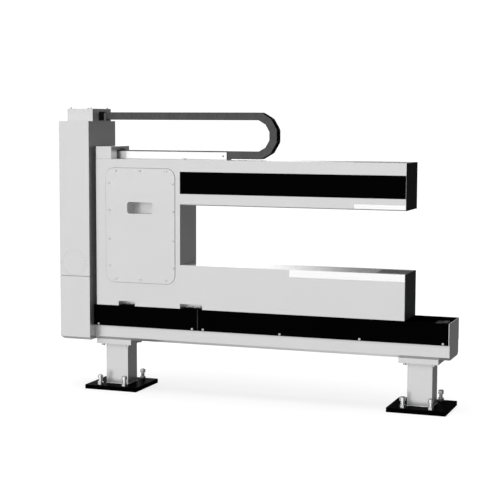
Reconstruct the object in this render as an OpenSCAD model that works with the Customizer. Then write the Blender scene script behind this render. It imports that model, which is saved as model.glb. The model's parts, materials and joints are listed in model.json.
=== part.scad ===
// Traversing C-frame measuring gauge: a deep C-shaped frame that slides along a floor-standing
// base on two profile rails, driven by a ball screw and fed by an energy chain from a column.
// Millimetres, +Z up, origin under the middle of the object, front face toward -Y.

/* [Overall] */
// Length from the column's outer face to the end plate
total_len = 1749; // [1500:1:2000]
// Depth of the column, the deepest piece
column_d = 270; // [220:1:340]
// Height of the column's top
column_top = 1195; // [1100:1:1400]
// Length of the column along X
column_w = 145.5; // [110:0.5:200]
// Height of the joint between the two column covers
column_seam_z = 510; // [450:1:700]
// Thickness of the flush round cover low on the column
cover_t = 3; // [2:0.5:5]

/* [Feet] */
// Foot plate length along X
foot_w = 250; // [200:1:300]
// Foot plate depth along Y
foot_d = 240; // [200:1:265]
// Foot plate thickness
foot_t = 19; // [12:1:30]
// X of the left foot's centre
foot_left_x = -642; // [-700:1:-500]
// X of the right foot's centre
foot_right_x = 743; // [500:1:745]
// Post tube size along X
post_w = 106; // [80:1:140]
// Post tube size along Y
post_d = 97; // [80:1:130]
// Post tube wall
post_wall = 5; // [3:0.5:8]
// Post flange thickness
flange_t = 22; // [12:1:30]
// Levelling jack thread diameter
jack_d = 16; // [12:1:20]
// Height of a jack screw head's top
jack_top = 65; // [55:1:80]

/* [Beam] */
// Height of the beam's underside
beam_z0 = 225; // [180:1:300]
// Height of the beam's top
beam_z1 = 325; // [290:1:380]
// Beam wall
beam_wall = 6; // [4:0.5:10]
// Beam front face Y
beam_y0 = -82; // [-100:1:-60]
// Beam rear face Y
beam_y1 = 98; // [60:1:100]
// Panel underside height
panel_z0 = 289; // [250:1:310]
// Panel top height
panel_z1 = 380; // [350:1:382]
// Panel thickness
panel_t = 2.5; // [1.5:0.5:4]

/* [Slide] */
// Y of the slide's centre line
slide_y = 4; // [-10:1:20]
// Half the distance between the rails
rail_half = 62; // [45:1:70]
// Rail width
rail_w = 20; // [15:1:25]
// Rail height
rail_h = 18; // [12:1:24]
// Ball screw diameter
screw_d = 16; // [12:1:20]
// Height of the ball screw's axis
screw_z = 342; // [338:0.5:346]
// Carriage length
carriage_l = 80; // [60:1:100]
// X of the left pair of carriages
carriage_left_x = -565; // [-600:1:-500]
// X of the right pair of carriages
carriage_right_x = -258; // [-300:1:-200]
// Saddle plate thickness
saddle_t = 25; // [15:1:30]

/* [C-frame] */
// C-frame left side X
cf_x0 = -711; // [-720:1:-690]
// Arm tip X, without its cap
cf_x1 = 688.5; // [500:0.5:760]
// C-frame front face Y
cf_y0 = -101; // [-110:1:-90]
// C-frame rear face Y
cf_y1 = 85; // [70:1:100]
// C-frame underside
cf_z0 = 383; // [382.5:0.5:400]
// C-frame top
cf_z1 = 1030; // [950:1:1060]
// X of the throat's back wall
throat_x = -309.5; // [-400:0.5:-100]
// Throat floor height
throat_z0 = 574.5; // [500:0.5:620]
// Throat roof height
throat_z1 = 835; // [700:1:860]
// Shell wall
cf_wall = 5; // [3:0.5:8]

/* [Energy chain] */
// Chain width along Y
chain_w = 50; // [35:1:60]
// Chain link height
chain_h = 33; // [25:1:40]
// Mid radius of the chain's bend
chain_r = 83.65; // [70:0.05:95]
// X of the bend's centre
bend_x = 2.5; // [-50:0.5:100]
// Y of the chain's centre
chain_y = 6; // [0:1:12]
// Underside of the lower run
chain_low_z = 1034; // [1033:0.5:1040]

/* [Hidden] */

$fn = 48;
eps = 1;

x_left = -total_len / 2;
x_right = total_len / 2;
column_x1 = x_left + column_w;
beam_x0 = column_x1;
beam_x1 = x_right - panel_t;
col_y0 = -column_d / 2;
col_y1 = column_d / 2;
col_cx = (x_left + column_x1) / 2 - 2.75;
cover_z = 571;
cover_r = 56;
cover_gap = 0.4;
cover_screw_dx = 64;

beam_chamfer = 12;
upstand_t = 8;
upstand_z1 = 372;

foot_y = 8;
foot_xs = [foot_left_x, foot_right_x];
jack_dx = 59;
jack_dy = 98.5;
jack_gap = 0.05;
post_z1 = beam_z0 - flange_t;
flange_w = 168;
flange_d = 164;
fbolt_dx = 61;
fbolt_dy = 62;
fbolt_d = 10;
fbolt_head_h = 10;
fbolt_head_r = 8;
jack_nut_h = 13;
jack_nut_flats = 24;
jack_head_h = 16;
jack_head_r = 12;

bar_z0 = 290;
bar_z1 = 302;
bar_y0 = -92.5;
bar_y1 = 100.5;
panel_split = -231;
panel_screw_z = 296;
panel_screw_x = [-705, -256, -205, 146, 497, 849];

rail_x0 = -700;
rail_x1 = 850;
rail_z0 = beam_z1;
rail_z1 = beam_z1 + rail_h;
rail_pitch = 100;
rail_first = -675;
rail_n = 16;
carriage_z0 = 331;
carriage_z1 = cf_z0 - saddle_t;
carriage_w = 44;
run_gap = 0.3;
saddle_x0 = -650;
saddle_x1 = -200;
saddle_y0 = -80;
saddle_y1 = 84;

fix_x0 = -720;
fix_x1 = -690;
flo_x0 = 830;
flo_x1 = 852;
sup_y0 = slide_y - 30;
sup_y1 = slide_y + 30;
sup_z1 = 374;
journal_r = 6;
journal_gap = 0.05;
buffer_z = 366;
buffer_r = 7;
buffer_dy = 20;
buffer_gap = 1.5;
travel = 1000;
motor_x0 = -866;
motor_x1 = -790;
motor_w = 57;
pilot_r = 19;
mount_z0 = 313;
mount_z1 = 371;
coupling_x0 = -778;
coupling_x1 = -742;
nut_x0 = -440;
nut_x1 = -396;
nut_r = 14;
nut_flange_t = 7;
nut_flange_r = 23;
nut_block_x1 = -408;
nut_block_z0 = 327.5;

notch_left = [-604, -525.5];
notch_right = [-310.4, -206];
notch_h = 21.5;
notch_d = 49;
open_x = [-634, -353];
open_z = [515, 968];
panel_x = [-663, -333.5];
panel_z = [488, 991];
pocket_x = [-560, -437];
pocket_z = [792, 843];
pocket_d = 68;
sensor_x0 = 557;
arm_chamfer = 4;
stripe_z = [883.5, 979];
strip_upper_x0 = 470;
strip_upper_z1 = 857.5;
strip_lower_x0 = 190;
strip_lower_z0 = 543.5;
sensor_y = [-71, 55];

trough_y0 = -23;
trough_y1 = 35;
trough_x0 = -700;
trough_x1 = -124;
trough_z1 = 1063;
trough_tab_x = -321;
trough_hole_x = -140;
trough_hole_z = 1046;
bridge_x1 = -636;
bridge_front_y1 = -44.5;
bridge_rear_y0 = 50;
bridge_z1 = 1073;
bridge_lid_z1 = 1084.3;

chain_y0 = chain_y - chain_w / 2;
chain_y1 = chain_y + chain_w / 2;
bend_z = chain_low_z + chain_h / 2 + chain_r;
chain_up_z = bend_z + chain_r - chain_h / 2;
chain_out = chain_r + chain_h / 2;
chain_in = chain_r - chain_h / 2;
chain_up_x0 = -689;
chain_fixed_x0 = -703;
chain_fixed_x1 = -180;
bracket_x0 = -790;
bracket_wall_x0 = -712;
chain_low_x0 = -560;
stub_x0 = -640;
chain_wall = 2;

box_x0 = -853.3;
box_x1 = -730;
box_y = 92;
box_z1 = 1245.5;
lid_t = 4;
box_hole_y = [-30, 45];
box_hole_z1 = 1237;

module block(x0, x1, y0, y1, z0, z1) {
  translate([x0, y0, z0]) cube([x1 - x0, y1 - y0, z1 - z0]);
}

module along_x(x0, x1) {
  translate([x0, 0, 0]) rotate([90, 0, 90]) linear_extrude(x1 - x0) children();
}

module rod_x(x0, x1, y, z, r) {
  translate([x0, y, z]) rotate([0, 90, 0]) cylinder(h = x1 - x0, r = r);
}

module rod_y(x, y0, y1, z, r) {
  translate([x, y0, z]) rotate([-90, 0, 0]) cylinder(h = y1 - y0, r = r);
}

module round_rect(x0, x1, z0, z1, r) {
  union() {
    translate([x0 + r, z0]) square([x1 - x0 - 2 * r, z1 - z0]);
    translate([x0, z0 + r]) square([x1 - x0, z1 - z0 - 2 * r]);
    for (x = [x0 + r, x1 - r], z = [z0 + r, z1 - r]) translate([x, z]) circle(r);
  }
}

module round_slab_y(x0, x1, z0, z1, r, y0, y1) {
  translate([0, y1, 0]) rotate([90, 0, 0]) linear_extrude(y1 - y0)
    round_rect(x0, x1, z0, z1, r);
}

// button head screw pointing along +Y, underside of the head at y
module screw_front(x, y, z, d, head_r, head_h, len) {
  rod_y(x, y, y + len, z, d / 2);
  difference() {
    rod_y(x, y - head_h, y, z, head_r);
    rod_y(x, y - head_h - eps, y - head_h * 0.45, z, d * 0.32, $fn = 6);
  }
}

module screw_rear(x, y, z, d, head_r, head_h, len) {
  rod_y(x, y - len, y, z, d / 2);
  difference() {
    rod_y(x, y, y + head_h, z, head_r);
    rod_y(x, y + head_h * 0.45, y + head_h + eps, z, d * 0.32);
  }
}

// socket head screw pointing down, underside of the head at z
module screw_down(x, y, z, d, head_r, head_h, len) {
  translate([x, y, z - len]) cylinder(h = len, r = d / 2);
  translate([x, y, z]) difference() {
    cylinder(h = head_h, r = head_r);
    translate([0, 0, head_h * 0.45]) cylinder(h = head_h, r = d * 0.42, $fn = 6);
  }
}

/* ---------- feet ---------- */
module foot_plate(cx) {
  color("#0c0c0d") difference() {
    block(cx - foot_w / 2, cx + foot_w / 2, foot_y - foot_d / 2, foot_y + foot_d / 2, 0, foot_t);
    for (sx = [-1, 1], sy = [-1, 1])
      translate([cx + sx * jack_dx, foot_y + sy * jack_dy, -eps])
        cylinder(h = foot_t + 2 * eps, r = jack_d / 2 + jack_gap);
  }
}
module foot_plate_left() foot_plate(foot_left_x);
module foot_plate_right() foot_plate(foot_right_x);

module post(cx) {
  color("#d5d6d7") difference() {
    union() {
      block(cx - post_w / 2, cx + post_w / 2, foot_y - post_d / 2, foot_y + post_d / 2,
        foot_t, post_z1);
      block(cx - flange_w / 2, cx + flange_w / 2, foot_y - flange_d / 2,
        foot_y + flange_d / 2, post_z1, beam_z0);
    }
    block(cx - post_w / 2 + post_wall, cx + post_w / 2 - post_wall,
      foot_y - post_d / 2 + post_wall, foot_y + post_d / 2 - post_wall, foot_t - eps, post_z1);
    for (sx = [-1, 1], sy = [-1, 1])
      translate([cx + sx * fbolt_dx, foot_y + sy * fbolt_dy, post_z1 - eps])
        cylinder(h = flange_t + 2 * eps, r = fbolt_d / 2 + 0.5);
  }
}
module post_left() post(foot_left_x);
module post_right() post(foot_right_x);

module flange_bolts() {
  color("#b9bcc0") for (cx = foot_xs, sx = [-1, 1], sy = [-1, 1])
    translate([cx + sx * fbolt_dx, foot_y + sy * fbolt_dy, 0]) difference() {
      union() {
        translate([0, 0, post_z1 - fbolt_head_h]) cylinder(h = fbolt_head_h, r = fbolt_head_r);
        translate([0, 0, post_z1]) cylinder(h = flange_t + beam_wall + 10, r = fbolt_d / 2);
        translate([0, 0, beam_z0 + beam_wall]) cylinder(h = 8, r = 9.5, $fn = 6);
      }
      translate([0, 0, post_z1 - fbolt_head_h - eps]) cylinder(h = 6, r = 4.6, $fn = 6);
    }
}

module jack_nuts() {
  color("#c9ccd0") for (cx = foot_xs, sx = [-1, 1], sy = [-1, 1])
    translate([cx + sx * jack_dx, foot_y + sy * jack_dy, foot_t]) difference() {
      intersection() {
        cylinder(h = jack_nut_h, r = jack_nut_flats / sqrt(3), $fn = 6);
        cylinder(h = jack_nut_h, r1 = 14.6, r2 = 12.8);
      }
      translate([0, 0, -eps]) cylinder(h = jack_nut_h + 2 * eps, r = jack_d / 2 + jack_gap);
    }
}

module jack(cx, sx, sy) {
  color("#d4d7da") translate([cx + sx * jack_dx, foot_y + sy * jack_dy, 0]) difference() {
    union() {
      translate([0, 0, 2]) cylinder(h = 1.5, r1 = jack_d / 2 - 1.5, r2 = jack_d / 2);
      translate([0, 0, 3.5]) cylinder(h = jack_top - jack_head_h - 3.5, r = jack_d / 2);
      translate([0, 0, jack_top - jack_head_h]) cylinder(h = jack_head_h - 1.4, r = jack_head_r);
      translate([0, 0, jack_top - 1.4]) cylinder(h = 1.4, r1 = jack_head_r, r2 = 10.8);
    }
    translate([0, 0, jack_top - 8]) cylinder(h = 8 + eps, r = 14 / sqrt(3), $fn = 6);
  }
}
module jack_1() jack(foot_left_x, -1, -1);
module jack_2() jack(foot_left_x, 1, -1);
module jack_3() jack(foot_left_x, -1, 1);
module jack_4() jack(foot_left_x, 1, 1);
module jack_5() jack(foot_right_x, -1, -1);
module jack_6() jack(foot_right_x, 1, -1);
module jack_7() jack(foot_right_x, -1, 1);
module jack_8() jack(foot_right_x, 1, 1);

/* ---------- beam and panels ---------- */
module beam() {
  c = beam_chamfer;
  k = c - 2;
  w = beam_wall;
  color("#d5d6d7") difference() {
    union() {
      along_x(beam_x0, beam_x1) difference() {
        polygon([[beam_y0, beam_z0 + c], [beam_y0 + c, beam_z0], [beam_y1 - c, beam_z0],
          [beam_y1, beam_z0 + c], [beam_y1, beam_z1], [beam_y0, beam_z1]]);
        polygon([[beam_y0 + w, beam_z0 + w + k], [beam_y0 + w + k, beam_z0 + w],
          [beam_y1 - w - k, beam_z0 + w], [beam_y1 - w, beam_z0 + w + k],
          [beam_y1 - w, beam_z1 - 2 * w], [beam_y0 + w, beam_z1 - 2 * w]]);
      }
      block(beam_x0, beam_x1, bar_y0, beam_y0, bar_z0, bar_z1);
      block(beam_x0, beam_x1, beam_y1, bar_y1, bar_z0, bar_z1);
      block(beam_x1 - upstand_t, beam_x1, beam_y0, beam_y1, beam_z1 - 1, upstand_z1);
    }
    for (p = end_screws) rod_x(beam_x1 - end_screw_len, beam_x1 + eps, p[0], p[1], 2);
    for (cx = foot_xs, sx = [-1, 1], sy = [-1, 1])
      translate([cx + sx * fbolt_dx, foot_y + sy * fbolt_dy, beam_z0 - eps])
        cylinder(h = beam_wall + 2 * eps, r = fbolt_d / 2 + 0.5);
    for (x = panel_screw_x) {
      rod_y(x, bar_y0 - eps, beam_y0, panel_screw_z, 2.5);
      rod_y(x, beam_y1 - 5, bar_y1 + eps, panel_screw_z, 2.5);
    }
    for (s = [-1, 1], i = [0 : rail_n - 1])
      translate([rail_first + i * rail_pitch, slide_y + s * rail_half, beam_z1 - 10])
        cylinder(h = 10 + eps, r = 2.5);
  }
}

module panel(x0, x1, y0, xs) {
  color("#1b1c1e") difference() {
    block(x0, x1, y0, y0 + panel_t, panel_z0, panel_z1);
    for (x = xs) rod_y(x, y0 - eps, y0 + panel_t + eps, panel_screw_z, 2.8);
  }
}
module panel_front_left()
  panel(beam_x0, panel_split - 0.5, bar_y0 - panel_t, [panel_screw_x[0], panel_screw_x[1]]);
module panel_front_right()
  panel(panel_split + 0.5, beam_x1, bar_y0 - panel_t,
    [for (i = [2 : 5]) panel_screw_x[i]]);
module panel_rear() panel(beam_x0, beam_x1, bar_y1, panel_screw_x);

end_screws = [[-19, 359], [45, 359], [-79, 262], [95, 262]];
end_screw_len = 7;
module end_plate() {
  c = beam_chamfer;
  color("#d5d6d7") difference() {
    along_x(beam_x1, x_right) polygon([[beam_y0, beam_z0 + c], [beam_y0 + c, beam_z0],
      [beam_y1 - c, beam_z0], [beam_y1, beam_z0 + c], [beam_y1, panel_z0],
      [bar_y1 + panel_t, panel_z0], [bar_y1 + panel_t, panel_z1],
      [bar_y0 - panel_t, panel_z1], [bar_y0 - panel_t, panel_z0], [beam_y0, panel_z0]]);
    for (p = end_screws) translate([beam_x1, p[0], p[1]]) rotate([0, 90, 0]) union() {
      translate([0, 0, -eps]) cylinder(h = panel_t, r = 2.1);
      cylinder(h = panel_t + 0.01, r1 = 2.1, r2 = 4.5);
    }
  }
}

/* ---------- slide ---------- */
module rail(y) {
  h = rail_w / 2;
  color("#c3c6c9") difference() {
    translate([0, y, 0]) along_x(rail_x0, rail_x1) polygon([[-h, rail_z0], [h, rail_z0],
      [h, rail_z0 + 6], [h - 2.5, rail_z0 + 9], [h - 2.5, rail_z0 + 11], [h, rail_z0 + 13.5],
      [h, rail_z1 - 1], [h - 1, rail_z1], [1 - h, rail_z1], [-h, rail_z1 - 1],
      [-h, rail_z0 + 13.5], [2.5 - h, rail_z0 + 11], [2.5 - h, rail_z0 + 9],
      [-h, rail_z0 + 6]]);
    for (i = [0 : rail_n - 1]) translate([rail_first + i * rail_pitch, y, 0]) {
      translate([0, 0, rail_z0 - eps]) cylinder(h = rail_h + 2 * eps, r = 3);
      translate([0, 0, rail_z1 - 8]) cylinder(h = 8 + eps, r = 4.75);
    }
  }
}
module rail_front() rail(slide_y - rail_half);
module rail_rear() rail(slide_y + rail_half);

module rail_screws() {
  color("#3a3b3d") for (s = [-1, 1], i = [0 : rail_n - 1])
    screw_down(rail_first + i * rail_pitch, slide_y + s * rail_half, rail_z1 - 8, 5, 4.3, 5, 19);
}

module carriages() {
  color("#9ea2a6") for (cx = [carriage_left_x, carriage_right_x], s = [-1, 1])
    difference() {
      block(cx - carriage_l / 2, cx + carriage_l / 2, slide_y + s * rail_half - carriage_w / 2,
        slide_y + s * rail_half + carriage_w / 2, carriage_z0, carriage_z1);
      block(cx - carriage_l, cx + carriage_l, slide_y + s * rail_half - rail_w / 2 - run_gap,
        slide_y + s * rail_half + rail_w / 2 + run_gap, carriage_z0 - eps,
        rail_z1 + run_gap);
      for (sx = [-1, 1])
        translate([cx + sx * 20, slide_y + s * (rail_half + 13.5), carriage_z0 - eps])
          cylinder(h = carriage_z1 - carriage_z0 + 2 * eps, r = 2.5);
    }
}

saddle_bolts = [for (cx = [carriage_left_x, carriage_right_x], sx = [-1, 1], s = [-1, 1])
  [cx + sx * 20, slide_y + s * (rail_half + 13.5)]];

module saddle_plate() {
  color("#1d1e20") difference() {
    block(saddle_x0, saddle_x1, saddle_y0, saddle_y1, carriage_z1, cf_z0);
    for (p = saddle_bolts)
      translate([p[0], p[1], carriage_z1 - eps]) cylinder(h = saddle_t + 2 * eps, r = 2.8);
  }
}

module saddle_screws() {
  color("#b9bcc0") for (p = saddle_bolts)
    screw_down(p[0], p[1], cf_z0, 5, 4.25, 5, saddle_t + 14);
}

module support(x0, x1) {
  color("#8d9194") difference() {
    block(x0, x1, sup_y0, sup_y1, beam_z1, sup_z1);
    rod_x(x0 - eps, x1 + eps, slide_y, screw_z, journal_r + journal_gap);
  }
}
module screw_support_fixed() support(fix_x0, fix_x1);
module screw_support_float() support(flo_x0, flo_x1);

module end_buffers() {
  color("#26272a") for (s = [-1, 1]) {
    rod_x(fix_x1, saddle_x0 - buffer_gap, slide_y + s * buffer_dy, buffer_z, buffer_r);
    rod_x(saddle_x1 + travel + buffer_gap, flo_x0, slide_y + s * buffer_dy, buffer_z,
      buffer_r);
  }
}

module motor() {
  m = motor_w / 2;
  color("#303235") difference() {
    union() {
      block(motor_x0, motor_x1, slide_y - m, slide_y + m, screw_z - m, screw_z + m);
      rod_x(motor_x1 - eps, motor_x1 + 1.6, slide_y, screw_z, pilot_r);
    }
    rod_x(motor_x1 - 14, motor_x1 + 3, slide_y, screw_z, 4.05);
    for (sy = [-1, 1], sz = [-1, 1])
      block(motor_x0 + 12, motor_x1 - 8, slide_y + sy * m - 5, slide_y + sy * m + 5,
        screw_z + sz * m - 5, screw_z + sz * m + 5);
  }
}

module motor_mount() {
  color("#8d9194") difference() {
    block(motor_x1, column_x1 - 3, sup_y0, sup_y1, mount_z0, mount_z1);
    rod_x(motor_x1 - eps, column_x1, slide_y, screw_z, pilot_r + 0.3);
    block(coupling_x0, coupling_x1, slide_y - 12, slide_y + 12, screw_z, mount_z1 + eps);
  }
}

module ball_screw() {
  color("#cfd2d5") {
    rod_x(coupling_x1 - 14, fix_x1 + 4, slide_y, screw_z, journal_r);
    rod_x(fix_x1 + 4, flo_x0 - 4, slide_y, screw_z, screw_d / 2);
    rod_x(flo_x0 - 4, flo_x1 + 5, slide_y, screw_z, journal_r);
    rod_x(fix_x0 - 8, fix_x0 - 0.5, slide_y, screw_z, 10);
  }
}

module coupling() {
  color("#aeb1b4") difference() {
    union() {
      rod_x(coupling_x0, coupling_x1, slide_y, screw_z, 15);
      rod_x(motor_x1 - 10, coupling_x0, slide_y, screw_z, 4);
    }
    rod_x(coupling_x1 - 14, coupling_x1 + eps, slide_y, screw_z, journal_r);
    for (x = [-764, -758]) translate([x, 0, 0]) difference() {
      rod_x(0, 2, slide_y, screw_z, 16);
      rod_x(-eps, 3, slide_y, screw_z, 10);
    }
  }
}

module ball_nut() {
  f0 = nut_x0 - nut_flange_t;
  color("#a5a9ad") difference() {
    union() {
      rod_x(nut_x0, nut_x1, slide_y, screw_z, nut_r);
      intersection() {
        rod_x(f0, nut_x0, slide_y, screw_z, nut_flange_r);
        block(f0, nut_x0, slide_y - nut_flange_r, slide_y + nut_flange_r, screw_z - nut_r,
          carriage_z1 - 1);
      }
    }
    rod_x(f0 - eps, nut_x1 + eps, slide_y, screw_z, screw_d / 2 + run_gap);
  }
}

module nut_bracket() {
  half = nut_flange_r + 4;
  color("#8d9194") difference() {
    block(nut_x0, nut_block_x1, slide_y - half, slide_y + half, nut_block_z0, carriage_z1);
    rod_x(nut_x0 - eps, nut_block_x1 + eps, slide_y, screw_z, nut_r);
  }
}

/* ---------- column and top box ---------- */
module column_shell(z0, z1, floor_z, roof_z) {
  t = 3;
  difference() {
    block(x_left, column_x1, col_y0, col_y1, z0, z1);
    block(x_left + t, column_x1 - t, col_y0 + t, col_y1 - t, floor_z, roof_z);
  }
}

module column_lower() {
  c = beam_chamfer;
  color("#d5d6d7") difference() {
    column_shell(beam_z0, column_seam_z - 1, beam_z0 + 10, column_seam_z + eps);
    for (y = [col_y0, col_y1]) translate([x_left - eps, y, beam_z0]) rotate([45, 0, 0])
      translate([0, -c / sqrt(2), -c / sqrt(2)])
        cube([column_w + 2 * eps, c * sqrt(2), c * sqrt(2)]);
    translate([x_left, col_y0 - eps, beam_z0]) rotate([0, 45, 0])
      translate([-c / sqrt(2), 0, -c / sqrt(2)])
        cube([c * sqrt(2), column_d + 2 * eps, c * sqrt(2)]);
    rod_x(column_x1 - 4, column_x1 + eps, slide_y, screw_z, 16);
  }
}

module column_upper() {
  color("#d5d6d7") difference() {
    column_shell(column_seam_z + 1, column_top, column_seam_z, column_top - 3);
    rod_y(col_cx, col_y0 - eps, col_y0 + 3 + eps, cover_z, cover_r + cover_gap);
    for (s = [-1, 1])
      rod_y(col_cx + s * cover_screw_dx, col_y0 - eps, col_y0 + 3 + eps, cover_z, 2.8);
    block(-820, -770, -40, 40, column_top - 4, column_top + eps);
  }
}

module column_frame() {
  t = 25;
  a = 3;
  zt = column_top - 3;
  color("#6d7073") {
    for (x = [x_left + a, column_x1 - a - t], y = [col_y0 + a, col_y1 - a - t]) {
      block(x, x + t, y, y + t, beam_z0 + 10, zt);
    }
    for (z = [column_seam_z - 20, 640, zt - t]) {
      for (x = [x_left + a, column_x1 - a - t])
        block(x, x + t, col_y0 + a + t - eps, col_y1 - a - t + eps, z, z + t);
      for (y = z == 640 ? [col_y1 - a - t] : [col_y0 + a, col_y1 - a - t])
        block(x_left + a + t - eps, column_x1 - a - t + eps, y, y + t, z, z + t);
    }
  }
}

module column_cover() {
  color("#d9dadb") {
    rod_y(col_cx, col_y0, col_y0 + cover_t, cover_z, cover_r);
    intersection() {
      rod_y(col_cx, col_y0 + cover_t, col_y0 + cover_t + 2, cover_z, cover_r + 10);
      block(x_left + 28.5, column_x1 - 28.5, col_y0, col_y0 + 10, column_seam_z + 6, 639);
    }
  }
}

box_screws = [for (x = [box_x0 + 13, box_x1 - 13], y = [-box_y + 9, box_y - 9]) [x, y]];
module box_body() {
  t = 2;
  color("#d5d6d7") difference() {
    union() {
      difference() {
        block(box_x0, box_x1, -box_y, box_y, column_top, box_z1);
        block(box_x0 + t, box_x1 - t, -box_y + t, box_y - t, column_top + t, box_z1 + eps);
      }
      for (p = box_screws) translate([p[0], p[1], column_top + 1])
        cylinder(h = box_z1 - column_top - 1, r = 5);
    }
    for (p = box_screws) translate([p[0], p[1], box_z1 - 12]) cylinder(h = 13, r = 2);
    translate([box_x1 - 3, 0, 0]) rotate([90, 0, 90]) linear_extrude(4)
      round_rect(box_hole_y[0], box_hole_y[1], column_top + t, box_hole_z1, 5);
    block(-815, -775, -35, 35, column_top - eps, column_top + t + eps);
  }
}

module box_lid() {
  color("#dcdddd") difference() {
    block(box_x0, box_x1, -box_y, box_y, box_z1, box_z1 + lid_t);
    for (p = box_screws)
      translate([p[0], p[1], box_z1 - eps]) cylinder(h = lid_t + 2 * eps, r = 2.3);
  }
}

module base_screws() {
  color("#5c5f62") {
    for (x = panel_screw_x) {
      screw_front(x, bar_y0 - panel_t, panel_screw_z, 5, 4.75, 2.7, 9);
      screw_rear(x, bar_y1 + panel_t, panel_screw_z, 5, 4.75, 2.7, 6);
    }
    for (p = box_screws) screw_down(p[0], p[1], box_z1 + lid_t, 4, 4, 5, 14);
    for (s = [-1, 1]) difference() {
      rod_y(col_cx + s * cover_screw_dx, col_y0 + 0.4, col_y0 + 3, cover_z, 2.6);
      rod_y(col_cx + s * cover_screw_dx, col_y0 - eps, col_y0 + 1.6, cover_z, 1.2, $fn = 24);
    }
    for (p = end_screws) difference() {
      union() {
        rod_x(beam_x1 - end_screw_len, x_right - 1, p[0], p[1], 2);
        translate([beam_x1, p[0], p[1]]) rotate([0, 90, 0])
          cylinder(h = panel_t - 0.2, r1 = 2, r2 = 4.2);
      }
      rod_x(x_right - 1.4, x_right, p[0], p[1], 1.3);
    }
  }
}

/* ---------- energy chain ---------- */
module chain_tube(x0, x1, z0, t, m) {
  difference() {
    block(x0, x1, chain_y0 + m, chain_y1 - m, z0 + m, z0 + chain_h - m);
    block(x0 - eps, x1 + eps, chain_y0 + m + t, chain_y1 - m - t, z0 + m + t,
      z0 + chain_h - m - t);
  }
}

module chain_upper_run() {
  color("#55575a") difference() {
    chain_tube(chain_up_x0, bend_x, chain_up_z, chain_wall, 0);
    for (x = [chain_up_x0 + 35 : 35 : bend_x - 10], y = [chain_y0, chain_y1])
      block(x - 0.8, x + 0.8, y - 0.6, y + 0.6, chain_up_z + 6, chain_up_z + chain_h - 6);
  }
}

module bend_ring(r0, r1, y0, y1) {
  translate([0, y0, 0]) rotate([-90, 0, 0]) linear_extrude(y1 - y0)
    difference() {
      circle(r1, $fn = 12);
      circle(r0, $fn = 12);
    }
}

module chain_bend() {
  k = cos(15);
  w = chain_wall;
  color("#55575a") intersection() {
    translate([bend_x, 0, bend_z]) rotate([0, 15, 0]) difference() {
      bend_ring(chain_in / k, chain_out / k, chain_y0, chain_y1);
      bend_ring((chain_in + w) / k, (chain_out - w) / k, chain_y0 + w, chain_y1 - w);
    }
    block(bend_x, bend_x + chain_out * 1.1, chain_y0 - eps, chain_y1 + eps,
      bend_z - chain_out - eps, bend_z + chain_out + eps);
  }
}

module chain_lower_run() {
  color("#55575a") chain_tube(chain_low_x0, bend_x, chain_low_z, chain_wall, 0);
}

module chain_fixed_run() {
  color("#4b4d50") chain_tube(chain_fixed_x0, chain_fixed_x1, chain_up_z, 1.5, 2.6);
}

module chain_fixed_bracket() {
  color("#b9bcc0") {
    block(bracket_x0, chain_fixed_x0, chain_y - 20, chain_y + 20, column_top + 2,
      column_top + 5);
    block(bracket_wall_x0, chain_fixed_x0, chain_y - 20, chain_y + 20, column_top + 4,
      chain_up_z + chain_h - 3);
  }
}

module chain_end_stub() {
  color("#4b4d50") {
    chain_tube(stub_x0, chain_low_x0, chain_low_z, chain_wall, 0);
    block(stub_x0 + 4, stub_x0 + 44, chain_y - 18, chain_y + 18, cf_z1 + 2, chain_low_z + 1);
  }
}

/* ---------- C-frame ---------- */
module notch_box(nx, rear, grow) {
  y0 = rear ? cf_y1 - notch_d - grow : cf_y0 - eps;
  y1 = rear ? cf_y1 + eps : cf_y0 + notch_d + grow;
  block(nx[0] - grow, nx[1] + grow, y0, y1, cf_z0 - eps, cf_z0 + notch_h + grow);
}

module c_profile(m) {
  tip = cf_x1 + (m > 0 ? eps : 0);
  polygon([[cf_x0 + m, cf_z0 + m], [tip, cf_z0 + m], [tip, throat_z0 - m],
    [throat_x - m, throat_z0 - m], [throat_x - m, throat_z1 + m], [tip, throat_z1 + m],
    [tip, cf_z1 - m], [cf_x0 + m, cf_z1 - m]]);
}

module c_solid(m, y0, y1) {
  translate([0, y1, 0]) rotate([90, 0, 0]) linear_extrude(y1 - y0) c_profile(m);
}

module arm_bevel(x0) {
  c = arm_chamfer;
  translate([x0, cf_y0, throat_z1]) rotate([45, 0, 0])
    translate([0, -c / sqrt(2), -c / sqrt(2)])
      cube([cf_x1 + 4 - x0, c * sqrt(2), c * sqrt(2)]);
}

module c_frame() {
  w = cf_wall;
  color("#d5d6d7") difference() {
    union() {
      difference() {
        c_solid(0, cf_y0, cf_y1);
        c_solid(w, cf_y0 + w, cf_y1 - w);
      }
      intersection() {
        c_solid(0, cf_y0, cf_y1);
        for (nx = [notch_left, notch_right], rear = [false, true]) notch_box(nx, rear, 4);
      }
    }
    for (nx = [notch_left, notch_right], rear = [false, true]) notch_box(nx, rear, 0);
    for (y = [cf_y0, cf_y1 - w])
      round_slab_y(open_x[0], open_x[1], open_z[0], open_z[1], 30, y - eps, y + w + eps);
    arm_bevel(throat_x);
    for (p = panel_screws, y = [cf_y0, cf_y1 - w])
      rod_y(p[0], y - eps, y + w + eps, p[1], 2.5);
    block(sensor_x0, cf_x1 + eps, sensor_y[0], sensor_y[1], throat_z1 - eps,
      throat_z1 + w + eps);
    block(sensor_x0, cf_x1 + eps, sensor_y[0], sensor_y[1], throat_z0 - w - eps,
      throat_z0 + eps);
  }
}

panel_screws = concat([for (x = [-646, -341], z = [925, 805, 678, 560]) [x, z]],
  [for (x = [-614, -498, -374], z = [980, 503]) [x, z]]);

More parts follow.
